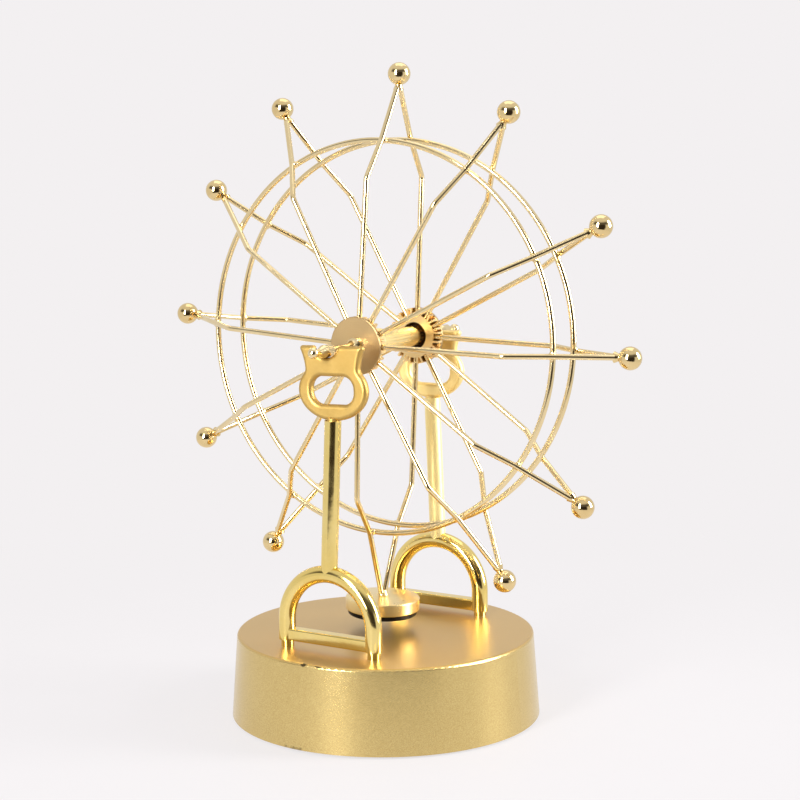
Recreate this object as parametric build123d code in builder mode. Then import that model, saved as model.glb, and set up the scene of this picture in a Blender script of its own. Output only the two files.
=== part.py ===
"""Magnetic desk wheel: a pendulum Ferris wheel that turns in two open cradles over a round battery base.

Millimetres. +Z up, origin on the table under the centre of the base. The axle lies along Y and the
wheel turns in the XZ plane. The front is towards -Y.
"""

from build123d import *
import math
import os

os.makedirs("parts", exist_ok=True)

# ------------------------------------------------------------------ driving dimensions
base_bottom_r = 65.0
base_top_r = 62.5
base_h = 35.0
axle_z = 157.5
wheel_y = 4.3  # the wheel has slid this far towards the back in its two cradles
hang_angle = -2.0  # the weight has come to rest this many degrees off plumb
stand_y = 41.8  # both stands, from the middle
# The stands are put together by hand. Per side: shift towards +X, lean of the post towards +X in
# degrees, and how much deeper its studs are driven. The front cradle leans back the other way.
stand_set = {-1: (-0.3, 2.5, 0.0), 1: (1.6, -2.3, 0.9)}
cradle_lean = {-1: -1.6, 1: 0.0}
arms = 12
# The arms are bent by hand. Per arm: degrees off its even place, extra reach, and how far its tip
# leans towards the back.
arm_set = (
    (0.0, 0.0, 0.0),
    (1.6, 1.8, 0.5),
    (-2.8, 0.5, 0.5),
    (0.9, 0.6, 1.5),
    (-1.4, 0.5, -0.5),
    (0.4, 0.9, -0.7),
    (-1.3, 1.3, 0.2),
    (0.3, 1.0, 0.3),
    (-2.5, 0.5, 3.0),
    (-1.6, -0.4, 4.1),
    (-1.5, -1.0, 0.7),
    (-0.7, -0.7, -2.6),
)
hoop_rise = 1.7  # the hoops' centre over the axle, which they miss by this much

# base shell and bottom cover
shell_wall = 2.0
top_t = 2.2
rim_gap = 0.6
rim_round = 1.2
foot_r = 5.0
foot_h = 1.6
foot_x = 31.0
foot_y = 44.2
cover_z = 1.0
cover_t = 2.6
cover_r = 62.5
screw_x = 46.8
screw_y = 27.0
boss_r = 3.2
pilot_r = 1.1
pilot_depth = 10.0
ring_wall = 1.2  # the ring under the top that centres the bobbin
ring_play = 0.3
ring_drop = 2.0
screw_hole_r = 1.5
screw_sink_r = 3.0
screw_head_r = 2.7
screw_shank_r = 1.0
screw_head_h = 1.7
screw_recess = 0.2
screw_reach = 8.0
screw_point = 1.0
cross_l = 2.6
cross_w = 0.6
cross_depth = 0.8

# battery door, which slides towards +Y until its tabs meet the open notches
door_x = 62.0
door_y = 62.0
door_t = 1.3
door_gap = 0.3
door_travel = 7.0
tab_reach = 1.0
tab_len = 8.0
tab_t = 0.6
tab_z = 1.3
tab_places = (-18.0, 12.0)
groove_play = 0.15
recess_play = 0.1
door_round = 1.0
ridge_y = -22.0
ridge_pitch = 2.4
ridge_l = 22.0
ridge_w = 1.0
ridge_depth = 0.5
ridges = 5

# battery box and cells
box_wall = 1.5
box_in_x = 58.0
box_in_y = 59.2
box_in_h = 14.8
cell_r = 7.1
cell_len = 49.5
cell_nub_r = 2.75
cell_nub = 1.0
cell_pitch = 14.8
cell_z = 10.8
contact_t = 0.4
contact_w = 11.0
contact_h = 11.0
leaf_w = 5.0
leaf_reach = 6.2
leaf_half = 5.0
contact_play = 0.1  # between a contact and the wall behind it
nub_play = 0.2
tab_strip_w = 3.0
tab_strip_out = 1.6
tab_slot_w = 3.4
tab_slot_h = 1.0
box_round = 1.0

# coil, bobbin and core
bobbin_r = 17.0
bobbin_z = 21.0
bobbin_h = 11.6
flange_t = 1.2
barrel_r = 5.0
core_r = 3.0
core_chamfer = 0.4
winding_r = 15.5

# circuit board
board_x = 45.0
board_w = 16.0
board_l = 44.0
board_t = 1.6
board_z = 12.0
board_pin_y = 18.0
board_pin_r = 0.9
board_hole_r = 1.0
board_post_r = 2.2
board_pin_proud = 0.8
capacitor_r = 3.2
capacitor_h = 7.0
transistor_r = 2.4
transistor_h = 4.6
transistor_lift = 2.0
transistor_flat = 1.5  # from the axis to the flat side
pin_pitch = 1.3
pin_w = 0.5
resistor_r = 1.1
resistor_l = 6.0
resistor_lift = 1.8
resistor_pin_w = 0.6
lead_r = 0.5
lead_bend = 0.8
coil_lead_y = 2.0
battery_lead_y = 17.0
lead_clear = 2.2  # from the bobbin's edge to the coil leads
lead_rise = 6.0
lead_out = 2.5

# stands
leg_x = 20.9
arch_r = 3.5
leg_bottom = 37.8
arch_spring = 46.1
arch_apex = arch_spring + leg_x
bar_h = 4.9
bar_d = 5.4
bar_half_x = 23.2
bar_round = 0.7
stud_chamfer = 0.5
foot_chamfer = 0.4
stud_r = 2.6
stud_bottom = 26.5
nut_af = 8.0
nut_t = 4.0
washer_r = 5.0
washer_t = 1.0
nut_play = 0.02
post_r = 3.4
post_bore = 2.65
fit_gap = 0.05  # between pieces that plug into each other and stay there

# cradles
cradle_t = 4.0
loop_z = 141.9
loop_half_w = 16.2
loop_half_h = 12.1
hole_z = 142.0
hole_w = 19.8
hole_h = 11.2
hole_r = 5.0
waist_z = 153.0
waist_half = 13.0
horn_top = 159.8
horn_out = 15.6
saddle_r = 6.0
tip_round = 1.0
waist_round = 3.0
cradle_round = 1.7
neck_r = 1.3
journal_r = 2.6  # the thicker part of each axle end, which only the front cradle carries
journal_from = 44.0
journal_to = 48.8
journal_taper = 2.4
journal_nose = 3.2
seat_clearance = 0.05
stub_l = 6.0
stub_root = 1.2
shoulder_half = 13.0
shoulder_z = 144.9

# wheel
wire_r = 1.15
root_r = 6.0
root_y = 23.1
bend_r = 66.4
bend_y = 21.8
hoop_r = 81.5
hoop_y = 9.0
hoop_wire_r = 1.2
wire_pass = 2.42  # between the centres of a spoke and its hoop where they pass
tip_y = 1.3
ball_tip = 103.0  # where the two wires of an arm end at a ball
bend_round = 4.0
ball_ring_r = 109.0
ball_r = 4.7
collar_r = 2.3
collar_neck_r = 1.5
collar_base = 102.4

# hubs and axle
disc_r = 12.0
disc_y = 24.3
disc_t = 1.1
claw_r = 9.4
claw_hole_r = 5.9
claw_y = 20.9
claw_t = 1.0
claw_tip_r = 11.8
claw_tab_w = 0.9
claw_tab_side = 1.9
claw_tab_root = 8.8
disc_round = 0.35
tube_r = 4.3
tube_bore = 2.7
plug_l = 6.0
flare_r = 3.4
flare_collar = 1.2
flare_l = 8.0
end_ball_y = 55.8
end_ball_r = 2.2

# weight on the lowest arm
weight_tip = 107.8
cone_top = 108.7
cap_rim = 109.7
cap_r = 15.7
cap_bottom = 114.8
cap_round = 0.5
pocket_top = 111.8
magnet_r = 14.6
magnet_bottom = 116.9
magnet_chamfer = 0.4
cap_boss_r = 2.5
cap_boss_h = 1.0

cover_top = cover_z + cover_t
shell_ceiling = base_h - top_t
box_roof = cover_top + box_in_h
box_top = box_roof + box_wall
post_top = loop_z - loop_half_h
axle_centre = (0, wheel_y, axle_z)


# ------------------------------------------------------------------ base
def screw_sites():
    return GridLocations(2 * screw_x, 2 * screw_y, 2, 2)


def foot_sites():
    return GridLocations(2 * foot_x, 2 * foot_y, 2, 2)


def stud_sites():
    places = []
    for side in (-1, 1):
        shift, lean, drop = stand_set[side]
        places += [(shift - leg_x, side * stand_y), (shift + leg_x, side * stand_y)]
    return Locations(*places)


with BuildPart() as base_shell:
    with BuildSketch(Plane.XZ):
        with BuildLine():
            Polyline(
                (0, shell_ceiling),
                (base_top_r - shell_wall, shell_ceiling),
                (base_bottom_r - shell_wall, rim_gap),
                (base_bottom_r, rim_gap),
                (base_top_r, base_h),
                (0, base_h),
                close=True,
            )
        make_face()
    revolve(axis=Axis.Z)
    fillet(base_shell.edges().filter_by(GeomType.CIRCLE).group_by(Axis.Z)[-1], rim_round)
    with BuildSketch(Plane.XY.offset(cover_top)):
        with screw_sites():
            Circle(boss_r)
    extrude(amount=shell_ceiling - cover_top)
    with BuildSketch(Plane.XY.offset(cover_top)):
        with screw_sites():
            Circle(pilot_r)
    extrude(amount=pilot_depth, mode=Mode.SUBTRACT)
    with BuildSketch(Plane.XY.offset(shell_ceiling)):
        Circle(bobbin_r + ring_play + ring_wall)
        Circle(bobbin_r + ring_play, mode=Mode.SUBTRACT)
    extrude(amount=-ring_drop)
    with BuildSketch(Plane.XY.offset(base_h)):
        with stud_sites():
            Circle(stud_r + fit_gap)
    extrude(amount=-top_t, mode=Mode.SUBTRACT)
base_shell.part.label = "base_shell"
export_step(base_shell.part, "parts/base_shell.step")

with BuildPart() as bottom_cover:
    recess_t = door_t + recess_play
    groove_in = door_x / 2 + door_gap / 2
    groove_out = door_x / 2 + tab_reach + 2 * door_gap
    groove_w = groove_out - groove_in
    with BuildSketch(Plane.XY.offset(cover_z)):
        Circle(cover_r)
        Rectangle(box_in_x, box_in_y, mode=Mode.SUBTRACT)
    extrude(amount=cover_t)
    with BuildSketch(Plane.XY.offset(cover_z)):
        with Locations((0, door_travel / 2)):
            Rectangle(door_x + 2 * door_gap, door_y + door_travel + 2 * door_gap)
    extrude(amount=recess_t, mode=Mode.SUBTRACT)
    # each tab runs in a groove, and drops out through a notch at the end of its travel
    for side in (-1, 1):
        for place in tab_places:
            groove_x = side * (groove_in + groove_out) / 2
            with BuildSketch(Plane.XY.offset(tab_z - groove_play)):
                with Locations((groove_x, place + door_travel / 2)):
                    Rectangle(groove_w, tab_len + door_travel + 2 * groove_play)
            extrude(amount=tab_t + 2 * groove_play, mode=Mode.SUBTRACT)
            with BuildSketch(Plane.XY.offset(cover_z)):
                with Locations((groove_x, place + door_travel)):
                    Rectangle(groove_w, tab_len + 2 * groove_play)
            extrude(amount=tab_z - cover_z, mode=Mode.SUBTRACT)
    with BuildSketch(Plane.XY.offset(cover_z)):
        with foot_sites():
            Circle(foot_r + fit_gap)
    extrude(amount=foot_h - cover_z, mode=Mode.SUBTRACT)
    with BuildSketch(Plane.XY.offset(cover_top)):
        with Locations((board_x, board_pin_y), (board_x, -board_pin_y)):
            Circle(board_post_r)
    extrude(amount=board_z - cover_top)
    with BuildSketch(Plane.XY.offset(board_z)):
        with Locations((board_x, board_pin_y), (board_x, -board_pin_y)):
            Circle(board_pin_r)
    extrude(amount=board_t + board_pin_proud)
    with Locations(Plane.XY.offset(cover_z).rotated((180, 0, 0))):
        with GridLocations(2 * screw_x, 2 * screw_y, 2, 2):
            CounterSinkHole(radius=screw_hole_r, counter_sink_radius=screw_sink_r, depth=cover_t)
bottom_cover.part.label = "bottom_cover"
export_step(bottom_cover.part, "parts/bottom_cover.step")

with BuildPart() as battery_door:
    with BuildSketch(Plane.XY.offset(cover_z)):
        Rectangle(door_x, door_y)
        fillet(vertices(), door_round)
    extrude(amount=door_t)
    for side in (-1, 1):
        with BuildSketch(Plane.XY.offset(tab_z)):
            with Locations(*[(side * (door_x + tab_reach) / 2, place) for place in tab_places]):
                Rectangle(tab_reach, tab_len)
        extrude(amount=tab_t)
    # finger ridges
    with BuildSketch(Plane.XY.offset(cover_z)):
        with Locations((0, ridge_y)):
            with GridLocations(0, ridge_pitch, 1, ridges):
                SlotOverall(ridge_l, ridge_w)
    extrude(amount=ridge_depth, mode=Mode.SUBTRACT)
battery_door.part.label = "battery_door"
export_step(battery_door.part, "parts/battery_door.step")

with BuildPart() as battery_box:
    with BuildSketch(Plane.XY.offset(cover_top)):
        Rectangle(box_in_x + 2 * box_wall, box_in_y + 2 * box_wall)
    extrude(amount=box_in_h + box_wall)
    with BuildSketch(Plane.XY.offset(cover_top)):
        Rectangle(box_in_x, box_in_y)
    extrude(amount=box_in_h, mode=Mode.SUBTRACT)
    fillet(battery_box.edges().filter_by(Axis.Z).group_by(Axis.X)[-1], box_round)
    fillet(battery_box.edges().filter_by(Axis.Z).group_by(Axis.X)[0], box_round)
    # two slots for the solder tabs
    with BuildSketch(Plane.YZ.offset(box_in_x / 2)):
        with Locations((1.5 * cell_pitch, cell_z), (-1.5 * cell_pitch, cell_z)):
            Rectangle(tab_slot_w, tab_slot_h)
    extrude(amount=box_wall, mode=Mode.SUBTRACT)
battery_box.part.label = "battery_box"
export_step(battery_box.part, "parts/battery_box.step")

# four cells side by side, each one facing the other way from its neighbour
with BuildPart() as battery_cells:
    for i in range(4):
        y = (i - 1.5) * cell_pitch
        facing = 1 if i % 2 == 0 else -1
        nub_end = box_in_x / 2 - contact_t - nub_play
        with BuildSketch(Plane.YZ.offset(facing * (nub_end - cell_nub))):
            with Locations((y, cell_z)):
                Circle(cell_r)
        extrude(amount=-facing * cell_len)
        with BuildSketch(Plane.YZ.offset(facing * (nub_end - cell_nub))):
            with Locations((y, cell_z)):
                Circle(cell_nub_r)
        extrude(amount=facing * cell_nub)
battery_cells.part.label = "battery_cells"
export_step(battery_cells.part, "parts/battery_cells.step")


def contact_plate(side, y, width):
    """A flat spring-bronze plate standing against the end wall of the battery box."""
    with BuildPart() as plate:
        with BuildSketch(Plane.YZ.offset(side * (box_in_x / 2 - contact_play))):
            with Locations((y, cell_z)):
                Rectangle(width, contact_h)
        extrude(amount=-side * contact_t)
    return plate.part


def contact_leaf(side, y):
    """The bowed strip that presses on a cell's flat end."""
    face_x = side * (box_in_x / 2 - contact_play - contact_t)
    tip_x = face_x - side * leaf_reach
    strip = side * contact_t
    outer_low = cell_z - leaf_half
    outer_high = cell_z + leaf_half
    inner_low = outer_low + 1
    inner_high = outer_high - 1
    with BuildPart() as leaf:
        with BuildSketch(Plane.XZ.offset(-y - leaf_w / 2)):
            with BuildLine():
                ThreePointArc((face_x, outer_low), (tip_x, cell_z), (face_x, outer_high))
                Line((face_x, outer_high), (face_x, inner_high))
                ThreePointArc((face_x, inner_high), (tip_x + strip, cell_z), (face_x, inner_low))
                Line((face_x, inner_low), (face_x, outer_low))
            make_face()
        extrude(amount=leaf_w)
    return leaf.part


def solder_tab(y):
    """The strip that leads out through the wall of the battery box."""
    with BuildPart() as tab:
        with BuildSketch(Plane.YZ.offset(box_in_x / 2 - contact_play)):
            with Locations((y, cell_z)):
                Rectangle(tab_strip_w, contact_t)
        extrude(amount=box_wall + tab_strip_out)
    return tab.part


contact_pieces = (
    contact_plate(-1, -cell_pitch, cell_pitch + contact_w),
    contact_leaf(-1, -1.5 * cell_pitch),
    contact_plate(-1, cell_pitch, cell_pitch + contact_w),
    contact_leaf(-1, 0.5 * cell_pitch),
    contact_plate(1, 0, cell_pitch + contact_w),
    contact_leaf(1, -0.5 * cell_pitch),
    contact_plate(1, -1.5 * cell_pitch, contact_w),
    solder_tab(-1.5 * cell_pitch),
    contact_plate(1, 1.5 * cell_pitch, contact_w),
    contact_leaf(1, 1.5 * cell_pitch),
    solder_tab(1.5 * cell_pitch),
)
with BuildPart() as battery_contacts:
    for contact_piece in contact_pieces:
        add(contact_piece)
battery_contacts.part.label = "battery_contacts"
export_step(battery_contacts.part, "parts/battery_contacts.step")

with BuildPart() as coil_bobbin:
    with BuildSketch(Plane.XZ):
        with BuildLine():
            Polyline(
                (core_r + fit_gap, bobbin_z),
                (bobbin_r, bobbin_z),
                (bobbin_r, bobbin_z + flange_t),
                (barrel_r, bobbin_z + flange_t),
                (barrel_r, bobbin_z + bobbin_h - flange_t),
                (bobbin_r, bobbin_z + bobbin_h - flange_t),
                (bobbin_r, bobbin_z + bobbin_h),
                (core_r + fit_gap, bobbin_z + bobbin_h),
                close=True,
            )
        make_face()
    revolve(axis=Axis.Z)
coil_bobbin.part.label = "coil_bobbin"
export_step(coil_bobbin.part, "parts/coil_bobbin.step")

with BuildPart() as drive_coil:
    with BuildSketch(Plane.XY.offset(bobbin_z + flange_t + fit_gap)):
        Circle(winding_r)
        Circle(barrel_r + fit_gap, mode=Mode.SUBTRACT)
    extrude(amount=bobbin_h - 2 * flange_t - 2 * fit_gap)
drive_coil.part.label = "drive_coil"
export_step(drive_coil.part, "parts/drive_coil.step")

with BuildPart() as coil_core:
    with BuildSketch(Plane.XY.offset(bobbin_z)):
        Circle(core_r)
    extrude(amount=bobbin_h)
    chamfer(coil_core.edges().filter_by(GeomType.CIRCLE), core_chamfer)
coil_core.part.label = "coil_core"
export_step(coil_core.part, "parts/coil_core.step")

with BuildPart() as circuit_board:
    with BuildSketch(Plane.XY.offset(board_z)):
        with Locations((board_x, 0)):
            Rectangle(board_w, board_l)
        with Locations((board_x, board_pin_y), (board_x, -board_pin_y)):
            Circle(board_hole_r, mode=Mode.SUBTRACT)
    extrude(amount=board_t)
circuit_board.part.label = "circuit_board"
export_step(circuit_board.part, "parts/circuit_board.step")

with BuildPart() as board_components:
    board_top = board_z + board_t
    capacitor_at = (board_x - 2, -6)
    transistor_at = (board_x + 2, 7)
    resistor_x = board_x + 4
    resistor_y = -11
    # electrolytic capacitor
    with BuildSketch(Plane.XY.offset(board_top)):
        with Locations(capacitor_at):
            Circle(capacitor_r)
    extrude(amount=capacitor_h)
    # transistor with its three legs
    with BuildSketch(Plane.XY.offset(board_top + transistor_lift)):
        with Locations(transistor_at):
            Circle(transistor_r)
            with Locations((transistor_flat + transistor_r / 2, 0)):
                Rectangle(transistor_r, 2 * transistor_r, mode=Mode.SUBTRACT)
    extrude(amount=transistor_h)
    with BuildSketch(Plane.XY.offset(board_top)):
        with Locations(transistor_at):
            with GridLocations(0, pin_pitch, 1, 3):
                Rectangle(pin_w, pin_w)
    extrude(amount=transistor_lift)
    # resistor lying on its two legs
    with BuildSketch(Plane.XZ.offset(-resistor_y)):
        with Locations((resistor_x, board_top + resistor_lift)):
            Circle(resistor_r)
    extrude(amount=-resistor_l)
    with BuildSketch(Plane.XY.offset(board_top)):
        with Locations((resistor_x, resistor_y + 1), (resistor_x, resistor_y + resistor_l - 1)):
            Rectangle(resistor_pin_w, resistor_pin_w)
    extrude(amount=resistor_lift)
board_components.part.label = "board_components"
export_step(board_components.part, "parts/board_components.step")


def make_lead(points):
    """A short insulated lead: straight runs joined by arcs."""
    with BuildPart() as lead:
        with BuildLine() as route:
            FilletPolyline(*points, radius=lead_bend)
        with BuildSketch(Plane(origin=route.line @ 0, z_dir=route.line % 0)):
            Circle(lead_r)
        sweep(path=route.line)
    return lead.part


pad_x = board_x - 5
pad_z = board_z + board_t + fit_gap
roof_z = box_top + lead_r + fit_gap
coil_side_x = bobbin_r + lead_clear
tab_end_x = box_in_x / 2 - contact_play + box_wall + tab_strip_out + fit_gap
coil_leads = [
    make_lead(
        (
            (winding_r + 0.3, y, bobbin_z + 5),
            (coil_side_x, y, bobbin_z + 5),
            (coil_side_x, y, roof_z),
            (pad_x, y, roof_z),
            (pad_x, y, pad_z),
        )
    )
    for y in (-coil_lead_y, coil_lead_y)
]
battery_leads = [
    make_lead(
        (
            (tab_end_x, side * 1.5 * cell_pitch, cell_z),
            (tab_end_x + lead_out, side * 1.5 * cell_pitch, cell_z),
            (tab_end_x + lead_out, side * 1.5 * cell_pitch, cell_z + lead_rise),
            (pad_x, side * battery_lead_y, cell_z + lead_rise),
            (pad_x, side * battery_lead_y, pad_z),
        )
    )
    for side in (-1, 1)
]
with BuildPart() as lead_wires:
    for lead_piece in coil_leads + battery_leads:
        add(lead_piece)
lead_wires.part.label = "lead_wires"
export_step(lead_wires.part, "parts/lead_wires.step")

with BuildPart() as cover_screws:
    head_z = cover_z + screw_recess
    for x in (-screw_x, screw_x):
        for y in (-screw_y, screw_y):
            with BuildSketch(Plane.XZ.offset(-y)):
                with BuildLine():
                    Polyline(
                        (x, head_z),
                        (x + screw_head_r, head_z),
                        (x + screw_shank_r, head_z + screw_head_h),
                        (x + screw_shank_r, cover_top + screw_reach),
                        (x, cover_top + screw_reach + screw_point),
                        close=True,
                    )
                make_face()
            revolve(axis=Axis((x, y, 0), (0, 0, 1)))
            with BuildSketch(Plane.XY.offset(head_z)):
                with Locations((x, y)):
                    Rectangle(cross_l, cross_w)
                    Rectangle(cross_w, cross_l)
            extrude(amount=cross_depth, mode=Mode.SUBTRACT)
cover_screws.part.label = "cover_screws"
export_step(cover_screws.part, "parts/cover_screws.step")

with BuildPart() as rubber_feet:
    with BuildSketch(Plane.XY):
        with foot_sites():
            Circle(foot_r)
    extrude(amount=foot_h)
    chamfer(rubber_feet.edges().filter_by(GeomType.CIRCLE).group_by(Axis.Z)[0], foot_chamfer)
rubber_feet.part.label = "rubber_feet"
export_step(rubber_feet.part, "parts/rubber_feet.step")

with BuildPart() as stand_nuts:
    with BuildSketch(Plane.XY.offset(shell_ceiling)):
        with stud_sites():
            Circle(washer_r)
            Circle(stud_r + fit_gap, mode=Mode.SUBTRACT)
    extrude(amount=-washer_t)
    with BuildSketch(Plane.XY.offset(shell_ceiling - washer_t - nut_play)):
        with stud_sites():
            RegularPolygon(nut_af / 2, 6, major_radius=False)
            Circle(stud_r + fit_gap, mode=Mode.SUBTRACT)
    extrude(amount=-nut_t)
stand_nuts.part.label = "stand_nuts"
export_step(stand_nuts.part, "parts/stand_nuts.step")


# ------------------------------------------------------------------ stands
def post_plane(side, height):
    """The plane across a stand's post at a height measured along the post."""
    shift, lean, drop = stand_set[side]
    upwards = Vector(math.sin(math.radians(lean)), 0, math.cos(math.radians(lean)))
    along = Vector(math.cos(math.radians(lean)), 0, -math.sin(math.radians(lean)))
    foot = Vector(shift, side * stand_y, arch_apex - drop)
    return Plane(origin=foot + upwards * (height - arch_apex), x_dir=along, z_dir=upwards)


def make_arch(side):
    """The cast hoop with its flat bar: a round rod bent to an arch, square bar across its feet."""
    shift, lean, drop = stand_set[side]
    y = side * stand_y
    with BuildPart() as arch:
        with BuildLine(Plane(origin=(shift, y, -drop), x_dir=(1, 0, 0), z_dir=(0, -1, 0))):
            Line((-leg_x, leg_bottom), (-leg_x, arch_spring))
            ThreePointArc((-leg_x, arch_spring), (0, arch_apex), (leg_x, arch_spring))
            Line((leg_x, arch_spring), (leg_x, leg_bottom))
        with BuildSketch(Plane.XY.offset(leg_bottom - drop)):
            with Locations((shift - leg_x, y)):
                Circle(arch_r)
        sweep()
        with BuildSketch(Plane.YZ.offset(shift - bar_half_x)):
            with Locations((y, leg_bottom - drop + bar_h / 2)):
                RectangleRounded(bar_d, bar_h, bar_round)
        extrude(amount=2 * bar_half_x)
    return arch


def make_studs(side):
    """Two studs that fasten a hoop to the top of the base."""
    shift, lean, drop = stand_set[side]
    with BuildPart() as studs:
        with BuildSketch(Plane.XY.offset(stud_bottom)):
            with Locations((shift - leg_x, side * stand_y), (shift + leg_x, side * stand_y)):
                Circle(stud_r)
        extrude(amount=leg_bottom - drop - stud_bottom)
        chamfer(studs.edges().filter_by(GeomType.CIRCLE).group_by(Axis.Z)[0], stud_chamfer)
    return studs


def make_post(side, arch):
    """The tube from the top of the hoop up to the cradle."""
    with BuildPart() as post:
        with BuildSketch(post_plane(side, arch_apex)):
            Circle(post_r)
            Circle(post_bore, mode=Mode.SUBTRACT)
        extrude(amount=post_top - arch_apex)
        add(arch.part, mode=Mode.SUBTRACT)
    return post


def make_cradle(side):
    """The plate that carries the axle: a closed loop below, two horns and an open saddle above."""
    tilt = math.radians(cradle_lean[side])
    upwards = Vector(math.sin(tilt), 0, math.cos(tilt))
    across = Vector(math.cos(tilt), 0, -math.sin(tilt))
    middle = post_plane(side, loop_z).origin + Vector(0, cradle_t / 2, 0)
    face = Plane(origin=middle - upwards * loop_z, x_dir=across, z_dir=(0, -1, 0))
    axle = face.to_local_coords(Vector(0, side * stand_y, axle_z))
    seat_r = journal_r if side < 0 else neck_r
    saddle_z = axle.Y + saddle_r - seat_r - seat_clearance
    with BuildPart() as cradle:
        with BuildSketch(face) as outline:
            with Locations((0, loop_z)):
                Ellipse(loop_half_w, loop_half_h)
            with BuildLine():
                Line((-shoulder_half, shoulder_z), (shoulder_half, shoulder_z))
                ThreePointArc((shoulder_half, shoulder_z), (waist_half, waist_z), (horn_out, horn_top))
                Line((horn_out, horn_top), (-horn_out, horn_top))
                ThreePointArc((-horn_out, horn_top), (-waist_half, waist_z), (-shoulder_half, shoulder_z))
            make_face()
            with Locations((axle.X, saddle_z)):
                Circle(saddle_r, mode=Mode.SUBTRACT)
            fillet(outline.vertices().group_by(Axis.Y)[-1], tip_round)
            fillet(outline.vertices().filter_by_position(Axis.Y, shoulder_z, waist_z), waist_round)
            with Locations((0, hole_z)):
                RectangleRounded(hole_w, hole_h, hole_r, mode=Mode.SUBTRACT)
        extrude(amount=cradle_t)
        fillet(cradle.faces().filter_by(Axis.Y).edges(), cradle_round)
        with BuildSketch(post_plane(side, post_top - stub_l)):
            Circle(post_bore - fit_gap)
        extrude(amount=stub_l + stub_root)
    return cradle


for side_name, stand_side in (("front", -1), ("back", 1)):
    arch = make_arch(stand_side)
    studs = make_studs(stand_side)
    post = make_post(stand_side, arch)
    cradle = make_cradle(stand_side)
    for piece_name, piece in (("arch", arch), ("studs", studs), ("post", post), ("cradle", cradle)):
        piece.part.label = f"{side_name}_{piece_name}"
        export_step(piece.part, f"parts/{side_name}_{piece_name}.step")


# ------------------------------------------------------------------ wheel
def arm_angle(number):
    """The angle of an arm from +X towards +Z. Arm 1 is the one with the weight."""
    return math.radians(270 + hang_angle + (number - 1) * 360 / arms + arm_set[number - 1][0])


def arm_plane(number):
    """The plane of one arm: x outwards from the axle, y along the axle."""
    angle = arm_angle(number)
    outwards = (math.cos(angle), 0, math.sin(angle))
    across = (-math.sin(angle), 0, math.cos(angle))
    return Plane(origin=axle_centre, x_dir=outwards, z_dir=across)


def axle_plane(y, side):
    """A plane across the axle at y from the middle of the wheel, facing outwards."""
    return Plane(origin=(0, wheel_y + y, axle_z), x_dir=(1, 0, 0), z_dir=(0, side, 0))


def make_spoke(side, number):
    """One wire in its arm's plane: from the hub to the bend, past its hoop, and in to the arm's tip."""
    off_place, reach, lean = arm_set[number - 1]
    rise = hoop_rise * math.sin(arm_angle(number))
    tip = weight_tip if number == 1 else ball_tip
    run_in = tip + reach - hoop_r - rise
    drop_in = hoop_y + wire_pass - tip_y - side * lean
    crossing_y = hoop_y + wire_pass * math.hypot(1, drop_in / run_in)
    with BuildPart() as spoke:
        with BuildLine() as route:
            FilletPolyline(
                (root_r, side * root_y),
                (bend_r + rise, side * bend_y),
                (hoop_r + rise, side * crossing_y),
                (tip + reach, side * tip_y + lean),
                radius=bend_round,
            )
        with BuildSketch(Plane(origin=route.line @ 0, z_dir=route.line % 0)):
            Circle(wire_r)
        sweep(path=route.line)
    return spoke.part


def make_ball(number):
    """A ball with the little collar that holds the ends of its arm's two wires."""
    off_place, reach, lean = arm_set[number - 1]
    ball_x = ball_ring_r + reach
    with BuildPart() as ball:
        with BuildSketch():
            with BuildLine():
                Polyline(
                    (collar_base + reach, lean),
                    (collar_base + reach, lean + collar_r),
                    (ball_x - ball_r, lean + collar_neck_r),
                    (ball_x, lean + collar_neck_r),
                    (ball_x, lean),
                    close=True,
                )
            make_face()
        revolve(axis=Axis((0, lean, 0), (1, 0, 0)))
        with Locations((ball_x, lean)):
            Sphere(ball_r)
        add(make_spoke(-1, number), mode=Mode.SUBTRACT)
        add(make_spoke(1, number), mode=Mode.SUBTRACT)
    return ball.part


def make_cap():
    """The turned cap on the lowest arm: low cone above, plain rim, and a pocket for the magnet."""
    with BuildPart() as cap:
        with BuildSketch():
            with BuildLine():
                Polyline(
                    (weight_tip - cap_boss_h, 0),
                    (weight_tip - cap_boss_h, collar_neck_r),
                    (cone_top, cap_boss_r),
                    (cap_rim, cap_r),
                    (cap_bottom, cap_r),
                    (cap_bottom, magnet_r + fit_gap),
                    (pocket_top, magnet_r + fit_gap),
                    (pocket_top, 0),
                    close=True,
                )
            make_face()
        revolve(axis=Axis.X)
        rim_edges = cap.edges().filter_by(GeomType.CIRCLE).sort_by(SortBy.RADIUS)[-2:]
        fillet(rim_edges, cap_round)
        add(make_spoke(-1, 1), mode=Mode.SUBTRACT)
        add(make_spoke(1, 1), mode=Mode.SUBTRACT)
    return cap.part


def make_magnet():
    """The magnet disc, which stands a little proud of its cap."""
    with BuildPart() as disc:
        with BuildSketch(Plane.YZ.offset(pocket_top + fit_gap)):
            Circle(magnet_r)
        extrude(amount=magnet_bottom - pocket_top - fit_gap)
        chamfer(disc.edges().filter_by(GeomType.CIRCLE), magnet_chamfer)
    return disc.part


for side_name, spoke_side in (("front", -1), ("back", 1)):
    for number in range(1, arms + 1):
        with BuildPart() as spoke:
            with Locations(arm_plane(number)):
                add(make_spoke(spoke_side, number))
        spoke.part.label = f"{side_name}_spoke_{number:02d}"
        export_step(spoke.part, f"parts/{side_name}_spoke_{number:02d}.step")

with BuildPart() as rim_balls:
    for number in range(2, arms + 1):
        with Locations(arm_plane(number)):
            add(make_ball(number))
rim_balls.part.label = "rim_balls"
export_step(rim_balls.part, "parts/rim_balls.step")

with BuildPart() as weight_cap:
    with Locations(arm_plane(1)):
        add(make_cap())
weight_cap.part.label = "weight_cap"
export_step(weight_cap.part, "parts/weight_cap.step")

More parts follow.
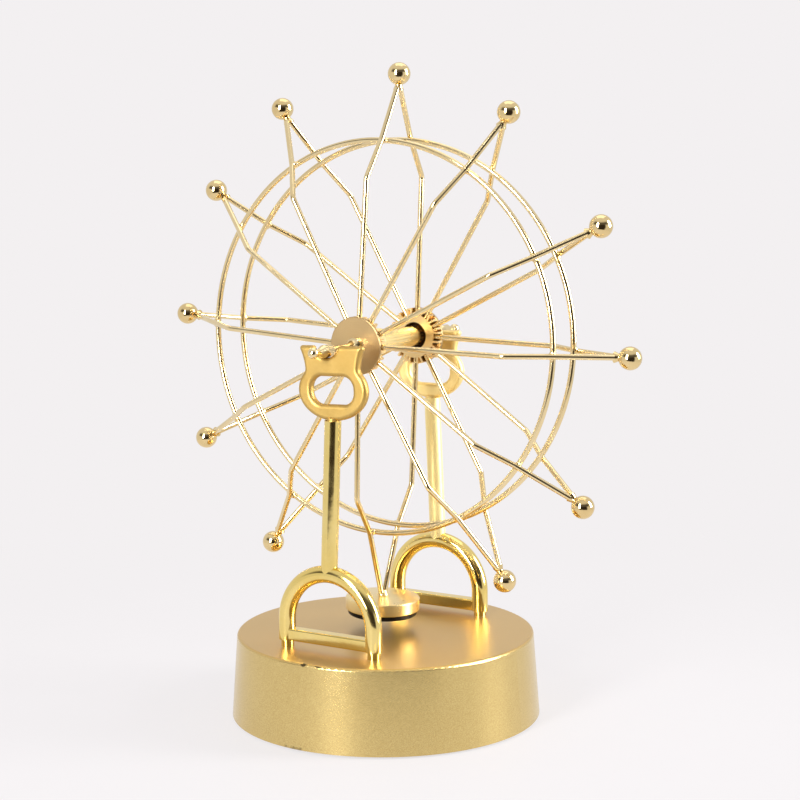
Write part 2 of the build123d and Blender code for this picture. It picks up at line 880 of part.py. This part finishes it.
with BuildPart() as magnet:
    with Locations(arm_plane(1)):
        add(make_magnet())
magnet.part.label = "magnet"
export_step(magnet.part, "parts/magnet.step")

with BuildPart() as axle_tube:
    with BuildSketch(axle_plane(-disc_y, 1)):
        Circle(tube_r)
        Circle(tube_bore, mode=Mode.SUBTRACT)
    extrude(amount=2 * disc_y)
axle_tube.part.label = "axle_tube"
export_step(axle_tube.part, "parts/axle_tube.step")


def make_hoop(side):
    """The wire ring that ties one side's spokes together."""
    middle = (0, wheel_y, axle_z + hoop_rise)
    with BuildPart() as hoop:
        with BuildSketch(Plane(origin=middle, x_dir=(1, 0, 0), z_dir=(0, 0, 1))):
            with Locations((hoop_r, side * hoop_y)):
                Circle(hoop_wire_r)
        revolve(axis=Axis(middle, (0, 1, 0)))
    return hoop


def make_hub_disc(side):
    """The plain disc that closes the hub on its outer face."""
    with BuildPart() as disc:
        with BuildSketch(axle_plane(side * disc_y, side)):
            Circle(disc_r)
            Circle(tube_bore, mode=Mode.SUBTRACT)
        extrude(amount=disc_t)
        fillet(disc.edges().filter_by(GeomType.CIRCLE).sort_by(SortBy.RADIUS)[-2:], disc_round)
    return disc


def make_hub_claw(side):
    """The inner ring of the hub, with two bent tabs beside the root of every spoke."""
    tab_mid = (claw_tab_root + claw_tip_r) / 2
    with BuildPart() as claw:
        with BuildSketch(axle_plane(side * claw_y, side)):
            Circle(claw_r)
            Circle(claw_hole_r, mode=Mode.SUBTRACT)
        extrude(amount=claw_t)
        for number in range(1, arms + 1):
            turn = -side * math.degrees(arm_angle(number))
            with BuildSketch(axle_plane(side * claw_y, side)):
                with Locations(Location((0, 0), turn)):
                    with Locations((tab_mid, claw_tab_side), (tab_mid, -claw_tab_side)):
                        Rectangle(claw_tip_r - claw_tab_root, claw_tab_w)
            extrude(amount=disc_y - claw_y - fit_gap)
    return claw


def make_axle_end(side):
    """A turned plug: spigot in the tube, flare against the disc, thin neck, journal and a ball end."""
    disc_face = disc_y + disc_t
    with BuildPart() as end:
        with BuildSketch(Plane(origin=axle_centre, x_dir=(0, side, 0), z_dir=(1, 0, 0))):
            with BuildLine():
                Line((disc_face - plug_l, 0), (disc_face - plug_l, tube_bore - fit_gap))
                Line((disc_face - plug_l, tube_bore - fit_gap), (disc_face + 0.02, tube_bore - fit_gap))
                Line((disc_face + 0.02, tube_bore - fit_gap), (disc_face + 0.02, flare_r))
                Line((disc_face + 0.02, flare_r), (disc_face + flare_collar, flare_r))
                Spline(
                    (disc_face + flare_collar, flare_r),
                    (disc_face + flare_l, neck_r),
                    tangents=((0.5, -1), (1, 0)),
                )
                Line((disc_face + flare_l, neck_r), (journal_from - journal_taper, neck_r))
                Line((journal_from - journal_taper, neck_r), (journal_from, journal_r))
                Line((journal_from, journal_r), (journal_to, journal_r))
                Line((journal_to, journal_r), (journal_to + journal_nose, neck_r))
                Line((journal_to + journal_nose, neck_r), (end_ball_y, neck_r))
                Line((end_ball_y, neck_r), (end_ball_y, 0))
                Line((end_ball_y, 0), (disc_face - plug_l, 0))
            make_face()
        revolve(axis=Axis(axle_centre, (0, side, 0)))
        with Locations(Location((0, wheel_y + side * end_ball_y, axle_z))):
            Sphere(end_ball_r)
    return end


for side_name, wheel_side in (("front", -1), ("back", 1)):
    wheel_pieces = (
        ("hoop", make_hoop(wheel_side)),
        ("hub_disc", make_hub_disc(wheel_side)),
        ("hub_claw", make_hub_claw(wheel_side)),
        ("axle_end", make_axle_end(wheel_side)),
    )
    for piece_name, piece in wheel_pieces:
        piece.part.label = f"{side_name}_{piece_name}"
        export_step(piece.part, f"parts/{side_name}_{piece_name}.step")
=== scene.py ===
"""Looks, light and camera for the magnetic desk wheel. Metres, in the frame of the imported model."""

import math
import random

import bmesh
import bpy
from mathutils import Matrix, Vector


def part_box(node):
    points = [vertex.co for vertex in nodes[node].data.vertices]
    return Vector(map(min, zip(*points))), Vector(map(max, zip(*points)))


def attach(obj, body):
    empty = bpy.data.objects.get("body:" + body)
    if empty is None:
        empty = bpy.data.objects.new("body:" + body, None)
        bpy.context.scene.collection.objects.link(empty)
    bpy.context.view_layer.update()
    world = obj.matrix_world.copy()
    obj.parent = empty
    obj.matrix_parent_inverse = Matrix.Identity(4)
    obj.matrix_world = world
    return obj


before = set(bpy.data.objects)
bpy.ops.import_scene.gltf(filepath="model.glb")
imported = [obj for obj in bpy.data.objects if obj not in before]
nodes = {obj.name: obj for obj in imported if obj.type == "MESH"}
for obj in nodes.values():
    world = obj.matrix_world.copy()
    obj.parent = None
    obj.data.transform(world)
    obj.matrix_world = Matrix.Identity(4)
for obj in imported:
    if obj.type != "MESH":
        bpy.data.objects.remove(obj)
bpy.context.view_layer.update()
scene = bpy.context.scene
scene.view_settings.view_transform = "Standard"

AXLE_WAY, UP = (0, 1, 0), (0, 0, 1)
NOISE_LOW, NOISE_HIGH = 0.3, 0.7  # nearly all of a noise texture's values lie between these


def srgb(r, g, b):
    """A colour given as 0 to 255 display values, as the linear values the shaders use."""
    out = []
    for v in (r, g, b):
        v = v / 255
        out.append(v / 12.92 if v <= 0.04045 else ((v + 0.055) / 1.055) ** 2.4)
    return (*out, 1.0)


# ------------------------------------------------------------------ camera
AZIMUTH, ELEVATION, ROLL = math.radians(31.996), math.radians(6.429), math.radians(-0.538)
DISTANCE = 0.784838
FOCAL_PX = 1884.56
CENTRE_PX = (382.84, 359.22)
IMAGE_PX, SENSOR_MM = 800, 36
TARGET = Vector((0, 0, 0.150))


def make_camera():
    """The photo's camera, as solved from points in it."""
    back = Vector((
        math.sin(AZIMUTH) * math.cos(ELEVATION),
        -math.cos(AZIMUTH) * math.cos(ELEVATION),
        math.sin(ELEVATION),
    ))
    right = Vector((math.cos(AZIMUTH), math.sin(AZIMUTH), 0))
    up = back.cross(right)
    right_r = right * math.cos(ROLL) + up * math.sin(ROLL)
    up_r = up * math.cos(ROLL) - right * math.sin(ROLL)
    data = bpy.data.cameras.new("camera")
    data.sensor_width = SENSOR_MM
    data.lens = FOCAL_PX * SENSOR_MM / IMAGE_PX
    data.shift_x = 0.5 - CENTRE_PX[0] / IMAGE_PX
    data.shift_y = CENTRE_PX[1] / IMAGE_PX - 0.5
    data.clip_start = 0.01
    data.clip_end = 50
    data.dof.use_dof = False
    camera = bpy.data.objects.new("camera", data)
    place = Matrix((right_r, up_r, back)).transposed().to_4x4()
    place.translation = TARGET + back * DISTANCE
    camera.matrix_world = place
    scene.collection.objects.link(camera)
    scene.camera = camera


# ------------------------------------------------------------------ shader helpers
class Shader:
    """A material with its Principled shader, and short ways to add the nodes that feed it."""

    def __init__(self, name, **values):
        self.mat = bpy.data.materials.new(name)
        self.mat.use_nodes = True
        self.tree = self.mat.node_tree
        self.bsdf = self.tree.nodes["Principled BSDF"]
        for key, value in values.items():
            self.bsdf.inputs[key.replace("_", " ")].default_value = value
        self.coord = self.tree.nodes.new("ShaderNodeTexCoord").outputs["Object"]

    def feed(self, node, i, value):
        if value is None:
            return
        if isinstance(value, bpy.types.NodeSocket):
            self.tree.links.new(value, node.inputs[i])
        else:
            node.inputs[i].default_value = value

    def math(self, op, a, b=None, c=None, clamp=False):
        node = self.tree.nodes.new("ShaderNodeMath")
        node.operation = op
        node.use_clamp = clamp
        for i, v in enumerate((a, b, c)):
            self.feed(node, i, v)
        return node.outputs[0]

    def vmath(self, op, a, b=None):
        node = self.tree.nodes.new("ShaderNodeVectorMath")
        node.operation = op
        self.feed(node, 0, a)
        self.feed(node, 1, b)
        return node.outputs["Value" if op in ("DOT_PRODUCT", "LENGTH", "DISTANCE") else "Vector"]

    def noise(self, scale, detail=2.0, rough=0.5, w=None, vector=None):
        node = self.tree.nodes.new("ShaderNodeTexNoise")
        node.inputs["Scale"].default_value = scale
        node.inputs["Detail"].default_value = detail
        node.inputs["Roughness"].default_value = rough
        if w is not None:
            node.noise_dimensions = "1D"
            self.tree.links.new(w, node.inputs["W"])
        else:
            self.tree.links.new(vector or self.coord, node.inputs["Vector"])
        return node.outputs["Fac"]

    def span(self, value, low, high, to_low=0.0, to_high=1.0, smooth=False):
        node = self.tree.nodes.new("ShaderNodeMapRange")
        node.clamp = True
        node.interpolation_type = "SMOOTHSTEP" if smooth else "LINEAR"
        self.feed(node, "Value", value)
        for key, v in (("From Min", low), ("From Max", high), ("To Min", to_low), ("To Max", to_high)):
            node.inputs[key].default_value = v
        return node.outputs["Result"]

    def vary(self, noise, low, high):
        """The noise stretched to run from low to high."""
        return self.span(noise, NOISE_LOW, NOISE_HIGH, low, high)

    def mix(self, factor, a, b):
        node = self.tree.nodes.new("ShaderNodeMix")
        node.data_type = "RGBA"
        self.feed(node, 0, factor)
        self.feed(node, 6, a)
        self.feed(node, 7, b)
        return node.outputs[2]

    def bump(self, height, distance, normal=None):
        node = self.tree.nodes.new("ShaderNodeBump")
        node.inputs["Distance"].default_value = distance
        self.tree.links.new(height, node.inputs["Height"])
        if normal is not None:
            self.tree.links.new(normal, node.inputs["Normal"])
        return node.outputs["Normal"]

    def set(self, socket, value):
        self.tree.links.new(value, self.bsdf.inputs[socket])


def polar(shader, origin, axis):
    """Distances in metres from an axis and along it, for marks that run round a turned piece."""
    away = shader.vmath("SUBTRACT", shader.coord, origin)
    along = shader.vmath("DOT_PRODUCT", away, axis)
    far = shader.vmath("LENGTH", away)
    far_square = shader.math("MULTIPLY", far, far)
    square = shader.math("SUBTRACT", far_square, shader.math("MULTIPLY", along, along))
    return shader.math("SQRT", shader.math("MAXIMUM", square, 0.0)), along


AXLE = (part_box("axle_tube")[0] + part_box("axle_tube")[1]) / 2
CAP = (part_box("weight_cap")[0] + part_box("weight_cap")[1]) / 2
ARM_DOWN = (CAP - AXLE).normalized()
TOP_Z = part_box("base_shell")[1].z
BASE_TOP = Vector((0, 0, TOP_Z))

# marks in the paint: where each one is, and how far it reaches along x, y and z
CHIP, CHIP_REACH = Vector((0.0006, -0.0622, TOP_Z - 0.0004)), (0.0020, 0.0020, 0.0007)
CRUMBS, CRUMBS_REACH = Vector((0.0075, -0.0617, TOP_Z - 0.0005)), (0.004, 0.002, 0.0008)
WORN_EDGE, WORN_REACH = Vector((-0.003, -0.0648, 0.0008)), (0.012, 0.008, 0.0022)

PAINT_DARK, PAINT_LIGHT = srgb(194, 168, 105), srgb(216, 193, 131)
# the second colour on the next line is painted shade: the top of the base coloured duller and more orange
# than the side
PAINT_CLOUD, PAINT_TOP_SHADE = srgb(190, 162, 96), srgb(204, 168, 98)
# on the next line: bare base where paint is missing, then painted shade for the dark gap round the axle tube
# on the hub discs
PAINT_MISSING, GAP_SHADE_COLOUR = srgb(74, 58, 32), srgb(46, 28, 16)
TOP_BLEND = 0.001  # the rim's height, over which the side's colour turns into the top's painted shade

# painted shade in the middle of each hub disc's inner face, for the dark gap round the axle tube: its
# distance from the axle's middle, and its radius
DISC_INNER, DISC_SHADE_R = 0.02445, 0.0060


# ------------------------------------------------------------------ materials
def plated(name, light, dark, roughness, spread, wave=0.000006, haze=0.0, metallic=1.0):
    """Gold plating: patchy tone, cloudy roughness, and the slight unevenness of the metal under it."""
    s = Shader(name, Metallic=metallic)
    fine = s.noise(900, 2, 0.6)
    patches = s.math("MULTIPLY_ADD", s.noise(60, 3, 0.55), 0.75, s.math("MULTIPLY", fine, 0.25))
    s.set("Base Color", s.mix(s.span(patches, 0.35, 0.65), light, dark))
    s.set("Roughness", s.vary(s.noise(160, 4, 0.6), roughness, roughness + spread))
    normal = s.bump(s.noise(350, 3, 0.5), wave)
    if haze:
        normal = s.bump(s.noise(2600, 2, 0.5), haze, normal)
    s.set("Normal", normal)
    return s


def near(shader, spot, reach):
    """1 at a spot, falling to 0 at the given reach along each axis."""
    away = shader.vmath("SUBTRACT", shader.coord, spot)
    scaled = shader.vmath("DIVIDE", away, reach)
    return shader.math("SUBTRACT", 1.0, shader.vmath("LENGTH", scaled), clamp=True)


def gold_paint():
    """Metallic paint: fine flakes, slight orange peel, painted shade on the top, chips on the front rim and
    wear at the lower edge.
    """
    s = Shader("gold_paint", Metallic=0.9)
    s.bsdf.inputs["Coat Weight"].default_value = 0.1
    s.bsdf.inputs["Coat Roughness"].default_value = 0.3
    flakes = s.noise(2600, 3, 0.7)
    clouds = s.noise(35, 4, 0.55)
    colour = s.mix(s.span(flakes, 0.38, 0.62), PAINT_DARK, PAINT_LIGHT)
    colour = s.mix(s.span(clouds, 0.35, 0.7, 0.0, 0.2), colour, PAINT_CLOUD)
    # painted shade: the top is coloured duller and more orange than the side, for how the light falls on it;
    # the same mask also makes the top rougher
    up = polar(s, BASE_TOP, UP)[1]
    top = s.span(up, -TOP_BLEND, 0.0, smooth=True)
    colour = s.mix(top, colour, PAINT_TOP_SHADE)
    ragged = s.noise(900, 3, 0.6)
    chip = s.math("MULTIPLY", near(s, CHIP, CHIP_REACH), s.vary(ragged, 0, 1))
    crumbs = s.math("MULTIPLY", near(s, CRUMBS, CRUMBS_REACH), ragged)
    edge = s.math("MULTIPLY", near(s, WORN_EDGE, WORN_REACH), s.noise(500, 3, 0.7))
    rim_marks = s.math("MAXIMUM", s.span(chip, 0.10, 0.16), s.span(crumbs, 0.30, 0.33))
    bare = s.math("MAXIMUM", rim_marks, s.span(edge, 0.28, 0.40, 0.0, 0.5))
    s.set("Base Color", s.mix(bare, colour, PAINT_MISSING))
    s.set("Roughness", s.math("MULTIPLY_ADD", top, 0.11, s.vary(flakes, 0.19, 0.25)))
    s.set("Normal", s.bump(flakes, 0.000022, s.bump(s.noise(220, 2, 0.5), 0.000015)))
    return s


def turned_gold(name, origin, axis, light, dark, roughness, rings, gap_shade=None):
    """Satin gold plating over turning marks that run round the piece.

    With its last argument given, as (distance along the axis, radius), it is painted dark nearer to the
    origin than both:
    painted shade for the dark gap round the axle tube.
    """
    s = Shader(name, Metallic=1.0)
    out, along = polar(s, origin, axis)
    travel = s.math("ADD", out, along)
    marks = s.noise(rings, 4, 0.7, w=travel)
    colour = s.mix(s.vary(marks, 0, 1), light, dark)
    # painted shade: dark near the axle on the disc's inner face, for the gap round the tube
    if gap_shade:
        inner = s.math("LESS_THAN", s.math("ABSOLUTE", along), gap_shade[0])
        middle = s.math("LESS_THAN", out, gap_shade[1])
        colour = s.mix(s.math("MULTIPLY", inner, middle), colour, GAP_SHADE_COLOUR)
    s.set("Base Color", colour)
    s.set("Roughness", s.vary(s.noise(90, 2, 0.5), roughness, roughness + 0.05))
    s.set("Normal", s.bump(marks, 0.000010))
    return s


def moulded(name, dark, light, roughness, grain=1500, coat=0.0):
    """Moulded plastic or rubber with a fine grain."""
    s = Shader(name)
    if coat:
        s.bsdf.inputs["Coat Weight"].default_value = coat
    grains = s.noise(grain, 3, 0.6)
    s.set("Base Color", s.mix(s.vary(s.noise(80, 3, 0.5), 0, 1), dark, light))
    s.set("Roughness", s.vary(grains, roughness - 0.06, roughness + 0.06))
    s.set("Normal", s.bump(grains, 0.00002))
    return s


def metal(name, dark, light, roughness, stretch=None):
    """Bare metal with drawing or brushing marks."""
    s = Shader(name, Metallic=1.0)
    vector = s.vmath("MULTIPLY", s.coord, stretch or (1.0, 1.0, 1.0))
    marks = s.noise(900, 4, 0.6, vector=vector)
    s.set("Base Color", s.mix(s.vary(marks, 0, 1), dark, light))
    s.set("Roughness", s.vary(marks, roughness - 0.08, roughness + 0.08))
    s.set("Normal", s.bump(marks, 0.00001))
    return s


def winding():
    """Enamelled copper wire wound in layers: rings round the coil's axis, with painted shade in the grooves
    between turns.
    """
    wire = 0.0005
    s = Shader("copper_winding", Metallic=1.0)
    out, up = polar(s, (0, 0, 0), UP)
    ridges = s.math("SINE", s.math("MULTIPLY", s.math("ADD", up, out), 2 * math.pi / wire))
    # painted shade: the colour darkens in the grooves between turns, along the same ridges as the bump
    s.set("Base Color", s.mix(s.span(ridges, -1, 1), srgb(120, 60, 28), srgb(206, 118, 66)))
    s.set("Roughness", s.vary(s.noise(300, 3, 0.6), 0.25, 0.4))
    s.set("Normal", s.bump(ridges, 0.0001))
    return s


def dress(names, shader):
    """Gives each named node the material, and nothing else."""
    for name in names:
        slots = nodes[name].data.materials
        slots.clear()
        slots.append(shader.mat)


def make_materials():
    """Dresses every node, and returns the wires' gold for the weld beads."""
    bright = plated("bright_gold", srgb(246, 222, 146), srgb(238, 210, 124), 0.09, 0.06, wave=0.00002)
    # painted light: the back post gets a lighter copy of the bright gold, for the light that falls on it from
    # behind
    bright_lit_back = plated("bright_gold_lit_back", srgb(254, 236, 172), srgb(250, 228, 158), 0.40, 0.08, metallic=0.75)
    # painted shade and painted light: the two cradles are one satin gold, coloured darker at the front and
    # lighter at the back for how the light falls on them
    cast_shaded_front = plated(
        "satin_gold", srgb(198, 166, 98), srgb(188, 154, 84), 0.42, 0.08, wave=0.00004, haze=0.000004
    )
    cast_lit_back = plated(
        "satin_lit_back_gold", srgb(250, 226, 158), srgb(244, 214, 138), 0.42, 0.08, wave=0.00004, metallic=0.85
    )
    ball = plated("ball_gold", srgb(236, 212, 158), srgb(228, 200, 142), 0.07, 0.04)
    pale = plated("pale_gold", srgb(240, 220, 174), srgb(232, 208, 156), 0.12, 0.06)
    creamy = plated("cream_gold", srgb(250, 228, 168), srgb(246, 220, 152), 0.22, 0.06)
    hub = turned_gold("hub_gold", AXLE, AXLE_WAY, srgb(246, 216, 158), srgb(238, 202, 136), 0.30, 3600)
    cap = turned_gold("cap_gold", AXLE, ARM_DOWN, srgb(246, 224, 166), srgb(240, 214, 150), 0.27, 4200)
    dress(("base_shell",), gold_paint())
    dress(("front_arch", "back_arch", "front_studs", "back_studs", "front_post"), bright)
    dress(("back_post",), bright_lit_back)
    dress(("front_cradle",), cast_shaded_front)
    dress(("back_cradle",), cast_lit_back)
    wires = [n for n in nodes if "_spoke_" in n or n.endswith("_hoop")]
    dress(wires + ["front_axle_end", "back_axle_end"], pale)
    dress(("rim_balls",), ball)
    dress(("axle_tube",), creamy)
    # painted shade in the middle of each hub disc's inner face, for the dark gap round the axle tube
    shaded_middle = (DISC_INNER, DISC_SHADE_R)
    disc = turned_gold(
        "disc_gold", AXLE, AXLE_WAY, srgb(192, 166, 122), srgb(178, 148, 102), 0.32, 3600, shaded_middle
    )
    dress(("front_hub_claw", "back_hub_claw"), hub)
    dress(("front_hub_disc", "back_hub_disc"), disc)
    dress(("weight_cap",), cap)
    dress(("magnet",), metal("ferrite", srgb(28, 26, 25), srgb(46, 43, 40), 0.45))
    black = moulded("black_plastic", srgb(22, 22, 23), srgb(34, 34, 35), 0.5)
    dress(("bottom_cover", "battery_door", "battery_box"), black)
    dress(("coil_bobbin",), moulded("white_plastic", srgb(222, 220, 210), srgb(236, 234, 226), 0.45))
    dress(("rubber_feet",), moulded("rubber", srgb(30, 30, 30), srgb(44, 43, 42), 0.75, 2400))
    dress(("circuit_board",), moulded("solder_mask", srgb(20, 84, 44), srgb(30, 104, 56), 0.35, 600, 0.5))
    dress(("board_components",), moulded("component_body", srgb(20, 20, 22), srgb(40, 40, 44), 0.3, 900, 0.3))
    dress(("lead_wires",), moulded("lead_insulation", srgb(168, 30, 22), srgb(186, 42, 30), 0.4, 900, 0.2))
    along_cells = (0.1, 1, 1)
    jacket = metal("cell_jacket", srgb(120, 126, 134), srgb(160, 166, 172), 0.3, along_cells)
    dress(("battery_cells",), jacket)
    dress(("battery_contacts",), metal("spring_bronze", srgb(196, 172, 112), srgb(216, 194, 136), 0.3))
    steel = metal("zinc_steel", srgb(168, 168, 164), srgb(200, 200, 196), 0.3)
    dress(("coil_core", "cover_screws", "stand_nuts"), steel)
    dress(("drive_coil",), winding())
    return pale


# ------------------------------------------------------------------ weld beads
HOOP_R, HOOP_RISE = 0.0815, 0.0017
WELD_Y = (0.01168 + 0.009) / 2  # halfway between a spoke where it crosses its hoop, and the hoop
BEAD = Vector((0.0021, 0.0015, 0.0013))
SWELL = 0.10


def arm_direction(name):
    """The unit vector of a spoke's arm, from the axle outwards, read from the spoke's own mesh."""
    far = max((v.co for v in nodes[name].data.vertices), key=lambda co: (co.xz - AXLE.xz).length)
    out = Vector((far.x - AXLE.x, 0, far.z - AXLE.z))
    return out.normalized()


def make_weld_beads(shader):
    """A small uneven bead of metal where each spoke is welded to its hoop."""
    draw = random.Random(7)
    mesh = bpy.data.meshes.new("weld_beads")
    bm = bmesh.new()
    for name in sorted(n for n in nodes if "_spoke_" in n):
        side = -1 if name.startswith("front") else 1
        out = arm_direction(name)
        along = Vector((-out.z, 0, out.x))
        middle = AXLE + out * (HOOP_R + HOOP_RISE * out.z) + Vector((0, side * WELD_Y, 0))
        turn = Matrix((along, Vector((0, 1, 0)), out)).transposed().to_4x4()
        turn.translation = middle
        size = [s * draw.uniform(0.85, 1.1) for s in BEAD]
        bead = bmesh.ops.create_icosphere(bm, subdivisions=3, radius=1.0)["verts"]
        bulge = [draw.uniform(-1, 1) for _ in range(6)]
        for v in bead:
            d = v.co.copy()
            twist = bulge[0] * d.x * d.y + bulge[1] * d.y * d.z
            ripple = bulge[2] * math.sin(3 * d.x + bulge[3]) + bulge[4] * math.sin(4 * d.z + bulge[5])
            swell = 1 + SWELL * (twist + ripple)
            v.co = turn @ Vector((d.x * size[0] * swell, d.y * size[1] * swell, d.z * size[2] * swell))
    for face in bm.faces:
        face.smooth = True
    bm.to_mesh(mesh)
    bm.free()
    mesh.materials.append(shader.mat)
    beads = bpy.data.objects.new("weld_beads", mesh)
    scene.collection.objects.link(beads)
    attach(beads, "wheel")


# ------------------------------------------------------------------ studio
PAPER = srgb(243, 240, 241)
FLOOR_R, FLOOR_DROP = 0.42, 0.0002
FLOOR_PLAIN_R = 0.40  # from here on the floor is as plain as the backdrop
FLOOR_MIDDLE_R, FLOOR_GLOW = 0.08, 0.78  # within this radius, this share of the floor's look is plain glow
BACKDROP_R = 12
ROOM_LIGHT, ROOM_DARK, ROOM_STRENGTH = (0.86, 0.85, 0.86, 1), (0.035, 0.028, 0.024, 1), 0.95
LIGHT_AIM = Vector((0, 0, 0.1))


def disc_mesh(name, radius, segments=96):
    """A flat round mesh at height 0."""
    mesh = bpy.data.meshes.new(name)
    bm = bmesh.new()
    bmesh.ops.create_circle(bm, cap_ends=True, segments=segments, radius=radius)
    bm.to_mesh(mesh)
    bm.free()
    return mesh


def make_floor():
    """Pale paper under the object, which runs out into the plain backdrop."""
    floor = bpy.data.objects.new("floor", disc_mesh("floor", FLOOR_R))
    floor.location.z = -FLOOR_DROP
    s = Shader("floor_paper", Roughness=0.55)
    s.bsdf.inputs["Specular IOR Level"].default_value = 0.25
    s.set("Base Color", s.mix(s.noise(40, 2, 0.5), srgb(196, 193, 195), srgb(200, 197, 199)))
    glow = s.tree.nodes.new("ShaderNodeEmission")
    glow.inputs["Color"].default_value = PAPER
    blend = s.tree.nodes.new("ShaderNodeMixShader")
    out = polar(s, (0, 0, 0), UP)[0]
    share = s.span(out, FLOOR_MIDDLE_R, FLOOR_PLAIN_R, FLOOR_GLOW, 1.0, smooth=True)
    s.tree.links.new(share, blend.inputs["Fac"])
    s.tree.links.new(s.bsdf.outputs[0], blend.inputs[1])
    s.tree.links.new(glow.outputs[0], blend.inputs[2])
    s.tree.links.new(blend.outputs[0], s.tree.nodes["Material Output"].inputs["Surface"])
    floor.data.materials.append(s.mat)
    scene.collection.objects.link(floor)


def make_backdrop():
    """A far pale shell that only the camera sees."""
    mesh = bpy.data.meshes.new("backdrop")
    bm = bmesh.new()
    bmesh.ops.create_uvsphere(bm, u_segments=64, v_segments=32, radius=BACKDROP_R)
    bm.to_mesh(mesh)
    bm.free()
    backdrop = bpy.data.objects.new("backdrop", mesh)
    mat = bpy.data.materials.new("backdrop")
    mat.use_nodes = True
    tree = mat.node_tree
    tree.nodes.clear()
    glow = tree.nodes.new("ShaderNodeEmission")
    glow.inputs["Color"].default_value = PAPER
    out = tree.nodes.new("ShaderNodeOutputMaterial")
    tree.links.new(glow.outputs[0], out.inputs["Surface"])
    mesh.materials.append(mat)
    scene.collection.objects.link(backdrop)
    backdrop.visible_diffuse = False
    backdrop.visible_glossy = False
    backdrop.visible_transmission = False
    backdrop.visible_shadow = False


def make_world():
    """The room as the metal sees it: pale all round, but dark in front of the table and above its front."""
    world = bpy.data.worlds.new("studio")
    scene.world = world
    world.use_nodes = True
    tree = world.node_tree
    tree.nodes.clear()
    direction = tree.nodes.new("ShaderNodeTexCoord").outputs["Generated"]

    def dot(v):
        node = tree.nodes.new("ShaderNodeVectorMath")
        node.operation = "DOT_PRODUCT"
        tree.links.new(direction, node.inputs[0])
        node.inputs[1].default_value = v
        return node.outputs["Value"]

    def ramp(value, low, high, a, b):
        node = tree.nodes.new("ShaderNodeMapRange")
        node.interpolation_type = "SMOOTHSTEP"
        tree.links.new(value, node.inputs["Value"])
        for key, v in (("From Min", low), ("From Max", high), ("To Min", a), ("To Max", b)):
            node.inputs[key].default_value = v
        return node.outputs["Result"]

    def times(a, b):
        node = tree.nodes.new("ShaderNodeMath")
        node.operation = "MULTIPLY"
        tree.links.new(a, node.inputs[0])
        tree.links.new(b, node.inputs[1])
        return node.outputs[0]

    def facing(azimuth):
        """How near a direction is to an azimuth in degrees, which is counted as the camera's is."""
        return dot((math.sin(math.radians(azimuth)), -math.cos(math.radians(azimuth)), 0))

    up = dot(UP)
    low = times(ramp(facing(30), 0.66, 0.86, 0, 1), ramp(up, 0.20, 0.75, 1, 0))
    band = times(ramp(up, 0.18, 0.32, 0, 1), ramp(up, 0.50, 0.80, 1, 0))
    high = times(ramp(facing(20), 0.0, 0.45, 0, 0.9), band)
    most = tree.nodes.new("ShaderNodeMath")
    most.operation = "MAXIMUM"
    tree.links.new(low, most.inputs[0])
    tree.links.new(high, most.inputs[1])
    mix = tree.nodes.new("ShaderNodeMix")
    mix.data_type = "RGBA"
    tree.links.new(most.outputs[0], mix.inputs[0])
    mix.inputs[6].default_value = ROOM_LIGHT
    mix.inputs[7].default_value = ROOM_DARK
    glow = tree.nodes.new("ShaderNodeBackground")
    tree.links.new(mix.outputs[2], glow.inputs["Color"])
    glow.inputs["Strength"].default_value = ROOM_STRENGTH
    out = tree.nodes.new("ShaderNodeOutputWorld")
    tree.links.new(glow.outputs[0], out.inputs["Surface"])


def softbox(name, azimuth, elevation, distance, size, power):
    """A square area light that faces the object from a direction given like the camera's."""
    az, el = math.radians(azimuth), math.radians(elevation)
    away = Vector((math.sin(az) * math.cos(el), -math.cos(az) * math.cos(el), math.sin(el)))
    data = bpy.data.lights.new(name, "AREA")
    data.shape = "RECTANGLE"
    data.size, data.size_y = size
    data.energy = power
    light = bpy.data.objects.new(name, data)
    light.location = LIGHT_AIM + away * distance
    light.rotation_euler = away.to_track_quat("Z", "Y").to_euler()
    scene.collection.objects.link(light)


def make_lights():
    softbox("left_softbox", azimuth=-3, elevation=20, distance=1.1, size=(0.24, 0.8), power=19)
    softbox("right_softbox", azimuth=117, elevation=20, distance=1.1, size=(0.34, 0.8), power=20)
    softbox("top_softbox", azimuth=200, elevation=72, distance=1.2, size=(0.9, 0.9), power=2)


make_camera()
pale_gold = make_materials()
make_weld_beads(pale_gold)
make_floor()
make_backdrop()
make_world()
make_lights()
